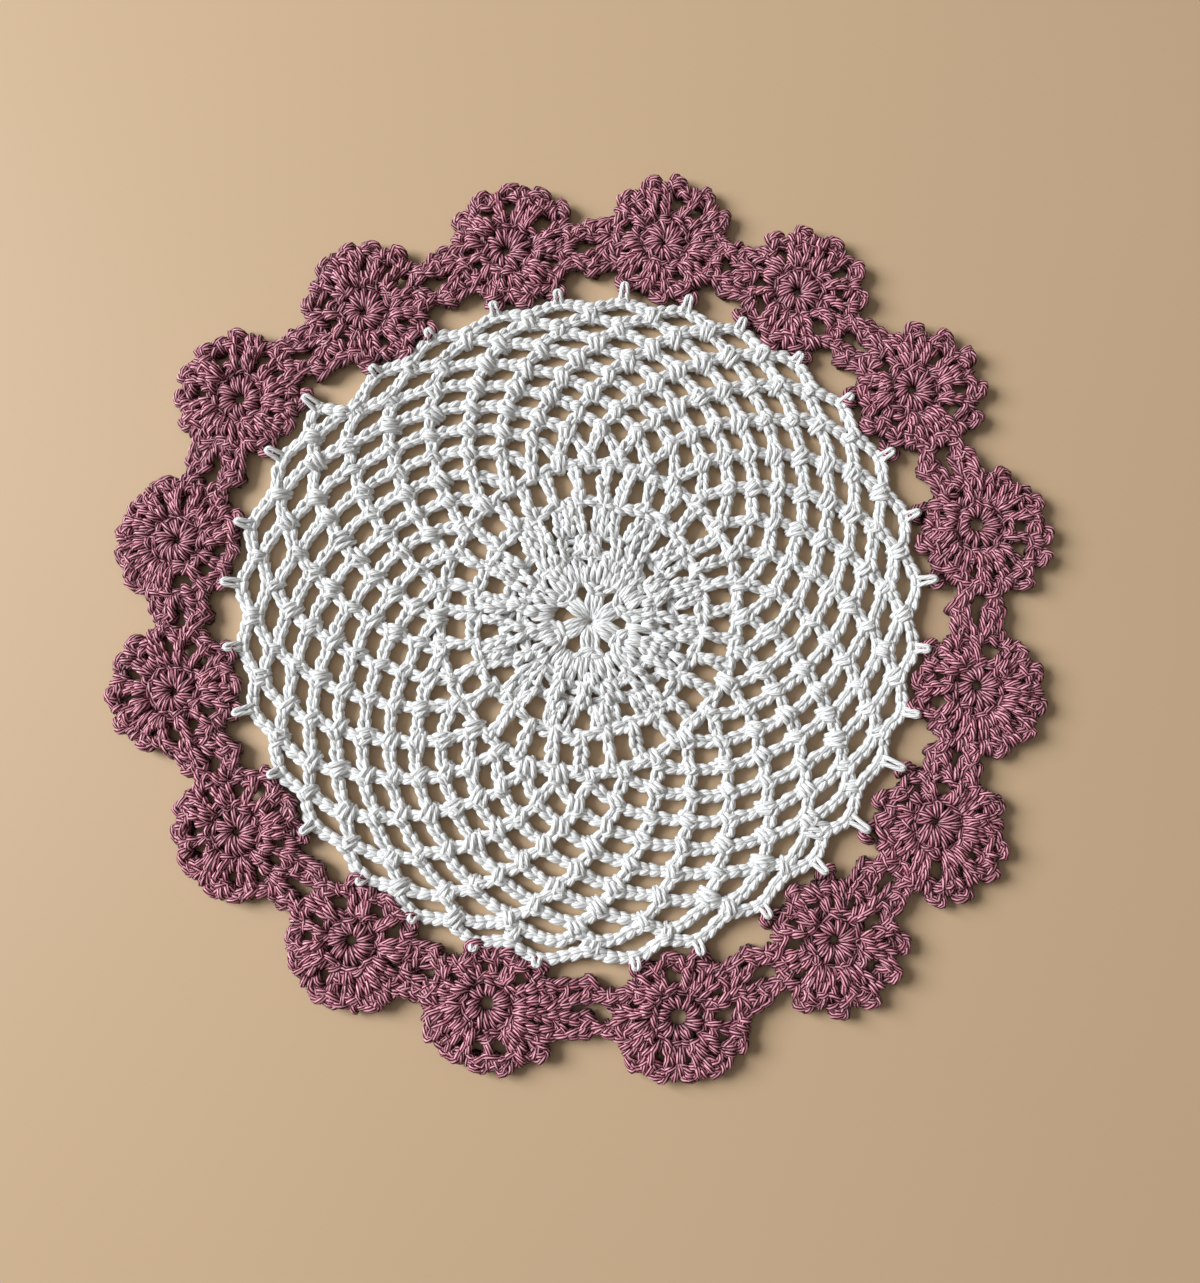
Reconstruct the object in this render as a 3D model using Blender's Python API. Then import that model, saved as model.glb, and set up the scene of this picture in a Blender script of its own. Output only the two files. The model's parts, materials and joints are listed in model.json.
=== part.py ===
"""Round crocheted doily, lying flat: an open mesh centre with a pointed edge, and sixteen
small round motifs joined to that edge and to each other.

Each worked piece is one flat solid at its real size, in metres, +Z up, with the underside
at z = 0 and the middle of the whole outline over the origin. Inside this file plans are
worked out in millimetres round the centre flower, with turns clockwise from +Y."""

from collections import namedtuple
from math import atan2, cos, degrees, hypot, radians, sin

import bpy

MM = 0.001

# Driving dimensions, in millimetres.
CENTRE_THICK = 3.0
MOTIF_THICK = 3.4
JOIN_GAP = 0.3            # daylight kept between two motifs
POINT_GAP = 0.4           # and from a white point to the lobe that it meets
EDGE_CLEAR = 1.9          # from the white edge to a motif's inmost lobe
PICOT_BASE, PICOT_TIP = 4.2, 1.0          # widths of a white point at its foot and its tip
EDGE_RUNS = 4             # straight runs along the white edge between two points
EYE_RADIUS, EYE_SIDES = 1.8, 8            # the drawn-in ring in the middle of a motif

# The rounds of gaps round the centre flower: how many, where they start and how long they
# are outwards, their width at both ends, and how far the round lies towards +Y.
GapRound = namedtuple("GapRound", "count inside long narrow wide lean")
GAP_ROUNDS = (
    GapRound(count=15, inside=26.4, long=5.4, narrow=1.6, wide=3.8, lean=1.4),
    GapRound(count=30, inside=36.0, long=6.8, narrow=3.0, wide=4.6, lean=2.2),
)

# The lobes of a motif, clockwise from the inmost one. A free lobe is a small point. The
# "white" ones meet points of the centre, and the others meet the neighbours' joins.
Lobe = namedtuple("Lobe", "turn_deg kind")
LOBES = (
    Lobe(turn_deg=0, kind="free"),
    Lobe(turn_deg=30, kind="white"),
    Lobe(turn_deg=64, kind="inner join"),
    Lobe(turn_deg=90, kind="outer join"),
    Lobe(turn_deg=120, kind="fan"),
    Lobe(turn_deg=150, kind="fan"),
    Lobe(turn_deg=180, kind="fan"),
    Lobe(turn_deg=210, kind="fan"),
    Lobe(turn_deg=240, kind="fan"),
    Lobe(turn_deg=270, kind="outer join"),
    Lobe(turn_deg=296, kind="inner join"),
    Lobe(turn_deg=330, kind="white"),
)
VALLEY, SHOULDER = 0.85, 0.955            # shares of the rim's radius
SHOULDER_TURN = 6.0                       # degrees to each side of a lobe's tip
# Where a join's end lies, outward from the point midway between two motifs, and its width.
JOIN_OUTWARD = {"inner join": -7.0, "outer join": 3.2}
JOIN_WIDTH = {"inner join": 5.4, "outer join": 4.6}

# The motifs, clockwise from the first one right of +Y: direction, distance of the middle
# from the centre flower, radius towards the flower and across, and how far the free outer
# lobes are turned. They are as uneven as handwork is.
Motif = namedtuple("Motif", "turn_deg reach deep wide fan_deg")
MOTIFS = (
    Motif(turn_deg=11.4, reach=120.7, deep=20.8, wide=20.4, fan_deg=3),
    Motif(turn_deg=32.5, reach=120.4, deep=21.0, wide=20.8, fan_deg=1),
    Motif(turn_deg=54.7, reach=122.0, deep=21.4, wide=22.0, fan_deg=3),
    Motif(turn_deg=77.3, reach=120.9, deep=21.2, wide=22.0, fan_deg=10),
    Motif(turn_deg=100.5, reach=116.9, deep=20.6, wide=20.2, fan_deg=2),
    Motif(turn_deg=121.4, reach=118.9, deep=21.4, wide=22.0, fan_deg=10),
    Motif(turn_deg=143.1, reach=117.5, deep=21.3, wide=22.0, fan_deg=8),
    Motif(turn_deg=167.1, reach=117.2, deep=18.9, wide=22.6, fan_deg=4),
    Motif(turn_deg=194.3, reach=116.8, deep=18.6, wide=22.4, fan_deg=-5),
    Motif(turn_deg=216.0, reach=116.2, deep=18.6, wide=20.6, fan_deg=7),
    Motif(turn_deg=238.8, reach=119.4, deep=19.0, wide=21.2, fan_deg=-5),
    Motif(turn_deg=260.6, reach=123.8, deep=20.0, wide=20.6, fan_deg=3),
    Motif(turn_deg=281.0, reach=124.7, deep=18.6, wide=20.6, fan_deg=2),
    Motif(turn_deg=303.2, reach=125.8, deep=19.6, wide=21.6, fan_deg=-9),
    Motif(turn_deg=325.2, reach=118.1, deep=20.6, wide=21.2, fan_deg=9),
    Motif(turn_deg=348.7, reach=118.1, deep=20.2, wide=21.8, fan_deg=5),
)

# The outer rows of open mesh, which have the net's largest gaps: how far the middle of a
# gap lies inside the edge, its height, and whether it sits between two points of the edge.
MeshRow = namedtuple("MeshRow", "inset high between")
MESH_ROWS = (
    MeshRow(inset=4.0, high=3.8, between=False),
    MeshRow(inset=9.6, high=3.6, between=True),
    MeshRow(inset=15.2, high=3.4, between=False),
)
GAP_SHARE = 0.78          # a gap's length, as a share of the way from one to the next


def along(turn_deg):
    """The unit vector in a direction, clockwise from +Y."""
    turn = radians(turn_deg)
    return sin(turn), cos(turn)


def shifted(point, direction, distance):
    return point[0] + direction[0] * distance, point[1] + direction[1] * distance


def toward(start, end):
    """The unit vector from one point to another."""
    reach = hypot(end[0] - start[0], end[1] - start[1])
    return (end[0] - start[0]) / reach, (end[1] - start[1]) / reach


def turn_of(point):
    return degrees(atan2(point[0], point[1])) % 360


def edge_radius(turn_deg):
    """The white edge: just inside each motif, and eased from one motif to the next."""
    for index, after in enumerate(MOTIFS):
        before = MOTIFS[index - 1]
        share = ((turn_deg - before.turn_deg) % 360) / ((after.turn_deg - before.turn_deg) % 360)
        if share <= 1:
            ease = share * share * (3 - 2 * share)
            start, end = before.reach - before.deep, after.reach - after.deep
            return start + (end - start) * ease - EDGE_CLEAR
    raise ValueError("the motifs leave a direction out")


def rim_point(motif, lobe_deg, share=1.0):
    """A point on a motif's oval rim, or a share of the way out to it."""
    middle = shifted((0, 0), along(motif.turn_deg), motif.reach)
    per_mm = hypot(cos(radians(lobe_deg)) / motif.deep, sin(radians(lobe_deg)) / motif.wide)
    return shifted(middle, along(motif.turn_deg + 180 + lobe_deg), share / per_mm)


def lobe_turn(motif, lobe):
    """The free outer lobes are turned together; the first and last of them give half."""
    if lobe.kind != "fan":
        return lobe.turn_deg
    ends = lobe.turn_deg in (120, 240)
    return lobe.turn_deg + motif.fan_deg * (0.5 if ends else 1.0)


def join_end(index, side, kind):
    """The flat end of a joined lobe, inmost point first, half a gap before the line midway
    between two motifs. The side is 1 for the next motif clockwise and -1 for the last."""
    here, there = (
        shifted((0, 0), along(motif.turn_deg), motif.reach)
        for motif in (MOTIFS[index], MOTIFS[(index + side) % len(MOTIFS)])
    )
    across = toward(here, there)
    out = (-across[1] * side, across[0] * side)
    face = shifted(here, across, hypot(there[0] - here[0], there[1] - here[1]) / 2 - JOIN_GAP / 2)
    half = JOIN_WIDTH[kind] / 2
    return [shifted(face, out, JOIN_OUTWARD[kind] + end) for end in (-half, half)]


def motif_outline(index):
    """Twelve lobes with a valley after each, clockwise. The first half faces the motif
    that comes before this one round the doily."""
    motif = MOTIFS[index]
    points = []
    for lobe, following in zip(LOBES, LOBES[1:] + LOBES[:1]):
        turn = lobe_turn(motif, lobe)
        if "join" in lobe.kind:
            end = join_end(index, -1 if turn < 180 else 1, lobe.kind)
            points += end if turn < 180 else end[::-1]
        else:
            points.append(rim_point(motif, turn - SHOULDER_TURN, SHOULDER))
            points.append(rim_point(motif, turn))
            points.append(rim_point(motif, turn + SHOULDER_TURN, SHOULDER))
        onward = (lobe_turn(motif, following) - turn) % 360
        points.append(rim_point(motif, turn + onward / 2, VALLEY))
    return points


def eye_outline(index):
    middle = shifted((0, 0), along(MOTIFS[index].turn_deg), MOTIFS[index].reach)
    return [shifted(middle, along(360 * side / EYE_SIDES), EYE_RADIUS) for side in range(EYE_SIDES)]


def white_points():
    """Foot direction and tip of each point of the centre. Each meets a lobe marked white."""
    found = []
    for motif in MOTIFS:
        for lobe in LOBES:
            if lobe.kind == "white":
                tip = rim_point(motif, lobe.turn_deg)
                foot = shifted((0, 0), along(turn_of(tip)), edge_radius(turn_of(tip)))
                found.append((turn_of(tip), shifted(tip, toward(tip, foot), POINT_GAP)))
    return sorted(found)


def centre_outline(picots):
    points = []
    for (turn, tip), (following, _) in zip(picots, picots[1:] + picots[:1]):
        half_foot = degrees(PICOT_BASE / 2 / edge_radius(turn))
        sideways = along(turn + 90)
        points.append(shifted((0, 0), along(turn - half_foot), edge_radius(turn - half_foot)))
        points.append(shifted(tip, sideways, -PICOT_TIP / 2))
        points.append(shifted(tip, sideways, PICOT_TIP / 2))
        run = ((following - turn) % 360 - 2 * half_foot) / EDGE_RUNS
        for step in range(EDGE_RUNS):
            stop = turn + half_foot + run * step
            points.append(shifted((0, 0), along(stop), edge_radius(stop)))
    return points


def spoke_gap(gap_round, number):
    """A gap between two long stitches, wider at its outer end."""
    turn = 360 * number / gap_round.count
    inside = gap_round.inside + gap_round.lean * cos(radians(turn))
    middle = shifted((0, 0), along(turn), inside)
    outer = shifted((0, 0), along(turn), inside + gap_round.long)
    sideways = along(turn + 90)
    return [
        shifted(middle, sideways, -gap_round.narrow / 2),
        shifted(outer, sideways, -gap_round.wide / 2),
        shifted(outer, sideways, gap_round.wide / 2),
        shifted(middle, sideways, gap_round.narrow / 2),
    ]


def mesh_gap(row, picots, number):
    """A long six-sided gap that follows the edge, pointed at both ends."""
    before, here, after = (picots[(number + step) % len(picots)][0] for step in (-1, 0, 1))
    onward = (after - here) % 360 / 2
    middle, back = (here + onward, onward) if row.between else (here, (here - before) % 360 / 2)
    corners = []
    for x, y in ((-1, 0), (-0.5, 0.5), (0.5, 0.5), (1, 0), (0.5, -0.5), (-0.5, -0.5)):
        turn = middle + GAP_SHARE * x * (onward if x > 0 else back)
        radius = edge_radius(turn) - row.inset + row.high * y
        corners.append(shifted((0, 0), along(turn), radius))
    return corners


def plate(name, outlines, thick, material, move, collection):
    """A flat piece: one outline and its holes, filled and raised from z = 0."""
    curve = bpy.data.curves.new(name, "CURVE")
    curve.dimensions = "2D"
    curve.fill_mode = "BOTH"
    curve.extrude = thick * MM / 2
    for outline in outlines:
        spline = curve.splines.new("POLY")
        spline.points.add(len(outline) - 1)
        for point, (x, y) in zip(spline.points, outline):
            point.co = (x * MM, y * MM, 0, 1)
        spline.use_cyclic_u = True
    curve.materials.append(material)
    piece = bpy.data.objects.new(name, curve)
    piece.location = (move[0] * MM, move[1] * MM, thick * MM / 2)
    collection.objects.link(piece)
    return piece


def cotton(name, colour, roughness):
    material = bpy.data.materials.new(name)
    material.use_nodes = True
    shader = material.node_tree.nodes["Principled BSDF"]
    shader.inputs["Base Color"].default_value = (*colour, 1)
    shader.inputs["Roughness"].default_value = roughness
    shader.inputs["Metallic"].default_value = 0
    return material


def clear_scene():
    for item in list(bpy.data.objects):
        bpy.data.objects.remove(item)


def build():
    clear_scene()
    collection = bpy.data.collections.new("lace_doily")
    bpy.context.scene.collection.children.link(collection)
    white = cotton("white_cotton", (0.80, 0.82, 0.84), 0.85)
    mauve = cotton("mauve_cotton", (0.33, 0.12, 0.17), 0.6)

    rims = [motif_outline(index) for index in range(len(MOTIFS))]
    everywhere = [point for rim in rims for point in rim]
    move = [-(min(values) + max(values)) / 2 for values in zip(*everywhere)]

    picots = white_points()
    gaps = []
    for gap_round in GAP_ROUNDS:
        gaps += [spoke_gap(gap_round, number) for number in range(gap_round.count)]
    for row in MESH_ROWS:
        gaps += [mesh_gap(row, picots, number) for number in range(len(picots))]
    plate("centre", [centre_outline(picots), *gaps], CENTRE_THICK, white, move, collection)
    for index, rim in enumerate(rims):
        name = f"motif_{index + 1:02d}"
        plate(name, [rim, eye_outline(index)], MOTIF_THICK, mauve, move, collection)


build()
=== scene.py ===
"""Looks for the round crocheted doily: every strand of yarn as it is worked, a white flower
and open net in the middle, and sixteen mauve motifs joined round its edge.

Plans are worked out in millimetres round the middle of the flower, with turns in degrees
clockwise from +Y. A height is measured up from the table that the doily lies on."""

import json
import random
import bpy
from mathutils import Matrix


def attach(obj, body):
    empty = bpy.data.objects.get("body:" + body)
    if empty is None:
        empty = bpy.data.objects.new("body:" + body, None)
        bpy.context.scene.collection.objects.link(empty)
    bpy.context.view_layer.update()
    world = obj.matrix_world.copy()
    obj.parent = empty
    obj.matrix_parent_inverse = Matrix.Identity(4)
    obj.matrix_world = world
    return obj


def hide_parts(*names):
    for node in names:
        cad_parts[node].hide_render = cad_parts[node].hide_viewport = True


bl_info = {
    "name": "Crocheted Doily",
    "version": (1, 0, 0),
    "blender": (4, 5, 0),
    "location": "3D View > Sidebar > Doily",
    "description": "Works a round doily in yarn: flower, net and edge motifs",
    "category": "Object",
}

from collections import namedtuple
from math import atan2, cos, degrees, hypot, pi, radians, sin, tau

import bpy
import numpy as np
from bpy.props import FloatProperty, FloatVectorProperty, IntProperty, PointerProperty
from mathutils import Matrix, Vector

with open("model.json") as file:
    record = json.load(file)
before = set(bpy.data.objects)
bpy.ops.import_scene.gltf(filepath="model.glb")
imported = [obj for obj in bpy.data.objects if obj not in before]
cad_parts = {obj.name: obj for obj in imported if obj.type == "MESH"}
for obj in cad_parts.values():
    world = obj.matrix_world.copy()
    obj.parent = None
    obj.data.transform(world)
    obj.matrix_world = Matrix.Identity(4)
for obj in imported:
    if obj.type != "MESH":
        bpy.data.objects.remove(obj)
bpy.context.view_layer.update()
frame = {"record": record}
UNDERSIDE = next(m for m in frame["record"]["mounts"] if m["name"] == "underside")
FLOWER_MIDDLE = tuple(UNDERSIDE["pos_m"][:2])
MM = 0.001
TABLE = "table_top"
STRAND_UV = "strand"

# Rounds of the flower, as the line that the tops of their stitches follow.
Round = namedtuple("Round", "radius cos1 sin1 cos2 sin2")
CORE_TOP = Round(radius=12.4, cos1=0.2, sin1=0.1, cos2=0.0, sin2=0.0)
FAN_TOP = Round(radius=20.6, cos1=0.4, sin1=0.0, cos2=0.1, sin2=0.1)
GROUP_TOP = Round(radius=34.3, cos1=1.4, sin1=-0.4, cos2=0.5, sin2=0.5)
LADDER_TOP = Round(radius=45.2, cos1=1.5, sin1=-0.4, cos2=1.0, sin2=0.9)
CLUSTER_TURNS, CLUSTER_STRANDS = (11, 65, 122, 180, 248, 316), 4
FAN_TURNS, FAN_STRANDS = (40, 97, 157, 220, 286, 347), 12
FAN_TOPS, FAN_HEADS = 27, 34      # tall stitches on the fans, and on the chain over them
# How the gaps of a round crowd together, in degrees.
Crowd = namedtuple("Crowd", "shift cos1 sin1 cos2 sin2")
GROUPS, GROUP_CROWD = 15, Crowd(shift=-5.1, cos1=3.9, sin1=-6.2, cos2=0.4, sin2=0.1)
SPOKES, SPOKE_CROWD = 31, Crowd(shift=-5.5, cos1=4.5, sin1=-6.5, cos2=1.0, sin2=0.0)

# The net is one spiral of loops. A loop's gap lies at radius + step * turns + bend * turns
# squared, every so many degrees, with sways that change from the first turn to the last.
NET_START, NET_LOOPS, NET_TURNS = 249.1, 283, 9       # the turns are whole ones
LOOP_DEG = 11.739
GAP_RADIUS, GAP_STEP, GAP_BEND = 45.5, 6.37, -0.075
Sway = namedtuple("Sway", "waves cos_first cos_last sin_first sin_last")
RADIUS_SWAYS = (
    Sway(waves=1, cos_first=4.3, cos_last=2.5, sin_first=-0.4, sin_last=-1.4),
    Sway(waves=2, cos_first=1.3, cos_last=-0.3, sin_first=0.4, sin_last=0.8),
    Sway(waves=3, cos_first=-0.2, cos_last=-1.2, sin_first=-0.2, sin_last=0.6),
)
TURN_SWAYS = (
    Sway(waves=1, cos_first=-1.9, cos_last=-0.8, sin_first=-5.2, sin_last=-1.8),
    Sway(waves=2, cos_first=1.2, cos_last=1.2, sin_first=-1.5, sin_last=1.4),
    Sway(waves=3, cos_first=-0.6, cos_last=0.9, sin_first=0.2, sin_last=-0.2),
)
HEAD_OUT, PEAK_IN = 1.2, 1.0      # from the middle of a gap to a knot's head and to a loop's peak
ARC_FLAT = 1.6                    # how flat a loop is at its knots; 1 is a plain half wave
POINTS = 32                       # loops of the last turn that end in a point
POINT_LEAD = 5                    # loops before them that are drawn towards their places
POINTS_FROM = 14                  # the motif, counted from 0, that the first two points meet
NET_MARKS = 16                    # marks along a loop, where its direction is worked out
PEAK_PULL = 0.6                   # how much of the way to the next turn's knot a peak is drawn
THREE_LEGS, COLLARED = 0.5, 0.6   # shares of the knots that have a third leg and a strand across
NET_PIECES = (("net_inner", 0, 102), ("net_middle", 102, 189), ("net_outer", 189, 283))

# The motifs, clockwise from the first one right of +Y: direction, distance of the middle
# from the flower, radius towards the flower and across, how far the free outer points are
# turned, and the eye's place outward and clockwise from the middle, and its size.
Motif = namedtuple("Motif", "turn reach deep wide fan eye_out eye_side eye")
MOTIFS = [Motif(*row) for row in (
    (11.4, 120.7, 20.8, 20.4, 3, -2.0, -1.1, 0.9),
    (32.5, 120.4, 21.0, 20.8, 1, -0.8, -1.4, 1.5),
    (54.7, 122.0, 21.4, 22.0, 3, -1.4, -1.6, 1.6),
    (77.3, 120.9, 21.2, 22.0, 10, -1.5, -3.9, 2.3),
    (100.5, 116.9, 20.6, 20.2, 2, -1.2, -2.4, 1.7),
    (121.4, 118.9, 21.4, 22.0, 10, -2.5, -2.6, 1.2),
    (143.1, 117.5, 21.3, 22.0, 8, -1.4, -0.8, 1.6),
    (167.1, 117.2, 18.9, 22.6, 4, -0.5, 1.2, 2.6),
    (194.3, 115.4, 18.3, 22.4, -5, -1.8, 1.8, 2.2),
    (216.0, 116.2, 18.6, 20.6, 7, -1.4, 1.6, 1.8),
    (238.8, 119.4, 19.0, 21.2, -5, 0.1, 0.7, 1.4),
    (260.6, 123.8, 20.0, 20.6, 3, 0.0, -0.8, 1.3),
    (281.0, 124.7, 18.6, 20.6, 2, 0.5, 0.4, 1.3),
    (303.2, 125.8, 19.6, 21.6, -9, -0.7, -1.7, 1.8),
    (325.2, 118.1, 20.6, 21.2, 9, -1.4, -3.0, 1.2),
    (348.7, 118.1, 20.2, 21.8, 5, -1.0, -3.5, 1.6),
)]

# The points round a motif, clockwise from the inmost one. Its second side mirrors the first.
Lobe = namedtuple("Lobe", "turn kind")
SIDE_LOBES = (
    Lobe(turn=30, kind="white"),
    Lobe(turn=62, kind="inner join"),
    Lobe(turn=92, kind="outer join"),
    Lobe(turn=120, kind="fan"),
    Lobe(turn=150, kind="fan"),
)
LOBES = (Lobe(0, "free"), *SIDE_LOBES, Lobe(180, "fan"),
         *(Lobe(360 - lobe.turn, lobe.kind) for lobe in reversed(SIDE_LOBES)))
FAN_ENDS = (120, 240)             # the fan's first and last lobes
EYE_STRANDS = 15
CURLS = 17                        # strands that cross the tall stitches of a motif
PICOT_REACH = {"fan": 1.0, "free": 1.03, "white": 1.11}
SINGLE_POSTS = 0.4                # share of a motif's pairs of tall stitches that lack one
JOIN_OUTWARD = {"inner join": -7.0, "outer join": 3.2}

SEEDS, NET_SEED, MOTIF_SEED = 1000, 1, 100        # apart for each setting, net's first, motifs' first
ROUND_STEPS, MOTIF_STEPS = 180, 96        # steps of a line round the flower and round a motif
END_SHARE = 0.72                          # thickness of a strand at a loose end
ODD_WAY = (0.31, 0.17, 0.93)              # a direction that no strand starts in
RELIEF_DEPTH, SOFT_DEPTH = 0.2 * MM, 0.5 * MM     # of the plies, and of light in the yarn

# The stage, in metres and watts. The floor fills the lower part of any low view.
FLOOR_HALF = 12.0
FILL, BACKDROP = (0.13, 0.118, 0.102), (0.72, 0.66, 0.58)
Light = namedtuple("Light", "name place size power colour")
LIGHTS = (
    Light(name="window", place=(-2.2, 0.6, 1.5), size=1.5, power=108.0, colour=(0.96, 0.985, 1.0)),
    Light(name="ceiling", place=(-0.2, 0.1, 1.3), size=1.2, power=1.5, colour=(1, 1, 1)),
)


# ---- plan helpers

def way(turn):
    """The unit vector in a direction."""
    return np.array((sin(radians(turn)), cos(radians(turn))))


def on_plan(radius, turn):
    """A point at a radius and a turn, round the flower."""
    return radius * way(turn)


def onward(turns, index):
    """How far it is from one of some directions to the next."""
    return (turns[(index + 1) % len(turns)] - turns[index]) % 360


def across(direction):
    """A quarter turn clockwise from a direction."""
    return np.array((direction[1], -direction[0]))


def toward(start, end):
    """The unit vector from one point to another."""
    return (end - start) / max(hypot(*(end - start)), 0.1)


def moved(value, row, turn):
    """A value, moved by the waves of a Round or a Crowd in a direction."""
    once, twice = radians(turn), radians(2 * turn)
    return (value + row.cos1 * cos(once) + row.sin1 * sin(once)
            + row.cos2 * cos(twice) + row.sin2 * sin(twice))


def round_radius(line, turn):
    """How far out the tops of a flower round lie in a direction."""
    uneven = sin(radians(7 * turn) + line.radius) + sin(radians(13 * turn) - line.radius)
    return moved(line.radius, line, turn) + 0.22 * uneven


def between(crowd, count, number):
    """The direction half-way between two neighbouring gaps of a round."""
    plain = [360 / count * (number + step) for step in (0, 1)]
    first, last = (moved(turn + crowd.shift, crowd, turn) for turn in plain)
    return (first + last) / 2


def round_line(line, height, shift=0.0):
    """The closed line that the tops of a flower round follow, or one beside it."""
    turns = np.linspace(0, 360, ROUND_STEPS + 1)
    flat = [on_plan(round_radius(line, turn) + shift, turn) for turn in turns]
    return np.array([(x, y, height) for x, y in flat])


def swayed(sways, turn, share):
    """The sum of some sways in a direction, a share of the way from first to last turn."""
    total = 0.0
    for sway in sways:
        angle = radians(sway.waves * turn)
        total += cos(angle) * (sway.cos_first + (sway.cos_last - sway.cos_first) * share)
        total += sin(angle) * (sway.sin_first + (sway.sin_last - sway.sin_first) * share)
    return total


def net_turn(loop):
    """The direction of a place along the net, unwound, so that it grows past 360."""
    plain = NET_START + LOOP_DEG * loop
    share = LOOP_DEG * loop / 360 / NET_TURNS
    return plain + swayed(TURN_SWAYS, plain, min(max(share, 0.0), 1.0))


def gap_radius(turn_unwound):
    """How far out the net's gaps lie, at an unwound direction."""
    turns = (turn_unwound - NET_START) / 360
    share = min(max(turns / NET_TURNS, 0.0), 1.0)
    return (GAP_RADIUS + GAP_STEP * turns + GAP_BEND * turns * turns
            + swayed(RADIUS_SWAYS, turn_unwound, share))


# ---- yarn

class Yarn:
    """Gathers the strands of one piece, and makes them into one mesh of closed tubes."""

    def __init__(self, thickness, sides, seed):
        self.radius = thickness / 2
        self.sides = sides
        self.chance = random.Random(seed)
        self.strands = []

    def wobble(self, amount):
        """A small shift either way."""
        return self.chance.uniform(-amount, amount)

    def spot(self, amount):
        """A small shift on the plan."""
        return np.array((self.wobble(amount), self.wobble(amount)))

    def strand(self, points, steps=2, thin=1.0):
        """Adds a strand that passes smoothly through some points."""
        self.lay(smoothed(np.array(points), steps), thin=thin)

    def lay(self, line, closed=False, thin=1.0):
        """Adds a strand along a line, on the table where the line would sink into it."""
        line[:, 2] = np.maximum(line[:, 2], self.radius * thin)
        self.strands.append((line, closed, thin))

    def mesh(self, name):
        """One mesh of all the strands, with a map of each strand round and along."""
        corners, faces, maps = [], [], []
        first = 0
        for line, closed, thin in self.strands:
            start = self.chance.uniform(0, 40)
            made = tube(line, self.radius * thin, self.sides, closed, first, start)
            corners.append(made[0])
            faces.extend(made[1])
            maps.append(made[2])
            first += len(made[0])
        places = np.concatenate(corners) * MM
        places[:, :2] += FLOWER_MIDDLE
        mesh = bpy.data.meshes.new(name)
        mesh.from_pydata(places.tolist(), [], faces)
        uvs = mesh.uv_layers.new(name=STRAND_UV)
        uvs.data.foreach_set("uv", np.concatenate(maps).astype(np.float32).ravel())
        mesh.polygons.foreach_set("use_smooth", [True] * len(mesh.polygons))
        mesh.update()
        return mesh


def smoothed(points, steps, closed=False):
    """Points along a smooth curve through the given ones, some steps to each span."""
    if closed:
        spans = len(points)
        before, here = np.roll(points, 1, 0), points
        after, later = np.roll(points, -1, 0), np.roll(points, -2, 0)
    else:
        spans = len(points) - 1
        ends = np.concatenate(([2 * points[0] - points[1]], points, [2 * points[-1] - points[-2]]))
        before, here, after, later = ends[:-3], ends[1:-2], ends[2:-1], ends[3:]
    rows = []
    for step in range(steps):
        t = step / steps
        rows.append(0.5 * (2 * here + (after - before) * t
                           + (2 * before - 5 * here + 4 * after - later) * t * t
                           + (3 * here - before - 3 * after + later) * t ** 3))
    line = np.stack(rows, 1).reshape(spans * steps, 3)
    return line if closed else np.concatenate((line, points[-1:]))


def unit_rows(rows):
    """Each row at length 1."""
    return rows / np.maximum(np.linalg.norm(rows, axis=1, keepdims=True), 1e-9)


def lengths_along(line):
    """How far along a line each of its points lies."""
    return np.concatenate(([0.0], np.cumsum(np.linalg.norm(np.diff(line, axis=0), axis=1))))


def read_between(places, marks, rows):
    """Rows of three numbers at some places, read between those at the marks."""
    return np.stack([np.interp(places, marks, rows[:, k]) for k in range(3)], 1)


def tube(line, radius, sides, closed, first, start):
    """The corners, faces and map of a tube round a line. The map is round the strand, 0 to
    1, and millimetres along it."""
    count = len(line)
    if closed:
        tangents = unit_rows(np.roll(line, -1, 0) - np.roll(line, 1, 0))
    else:
        tangents = unit_rows(np.gradient(line, axis=0))
    normal = np.cross(tangents[0], ODD_WAY)
    normal /= np.linalg.norm(normal)
    normals = np.empty((count, 3))
    for index in range(count):
        normal = normal - tangents[index] * normal.dot(tangents[index])
        normal /= max(np.sqrt(normal.dot(normal)), 1e-9)
        normals[index] = normal
    sideways = np.cross(tangents, normals)
    angles = np.arange(sides) * tau / sides
    ring = (normals[:, None] * np.cos(angles)[None, :, None]
            + sideways[:, None] * np.sin(angles)[None, :, None])
    radii = np.full(count, radius)
    if not closed:
        radii[0] = radii[-1] = radius * END_SHARE
    corners = (line[:, None] + ring * radii[:, None, None]).reshape(-1, 3)
    along = lengths_along(line) + start
    rows = count if closed else count - 1
    here = np.arange(rows)[:, None]
    there = (here + 1) % count
    near = np.arange(sides)[None, :]
    far = (near + 1) % sides
    quads = np.stack((here * sides + near, here * sides + far,
                      there * sides + far, there * sides + near), -1).reshape(-1, 4) + first
    reach = np.append(along[1:], along[-1] + np.linalg.norm(line[0] - line[-1]))[:rows]
    near_u, low_v, high_v = np.broadcast_arrays(near / sides, along[:rows, None], reach[:, None])
    far_u = near_u + 1 / sides
    uvs = np.stack((near_u, low_v, far_u, low_v, far_u, high_v, near_u, high_v), -1).reshape(-1, 2)
    faces = quads.tolist()
    if not closed:
        faces.append([first + side for side in reversed(range(sides))])
        faces.append([first + (count - 1) * sides + side for side in range(sides)])
        caps = np.zeros((2 * sides, 2))
        caps[:, 1] = np.repeat((along[0], along[-1]), sides)
        uvs = np.concatenate((uvs, caps))
    return corners, faces, uvs


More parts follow.
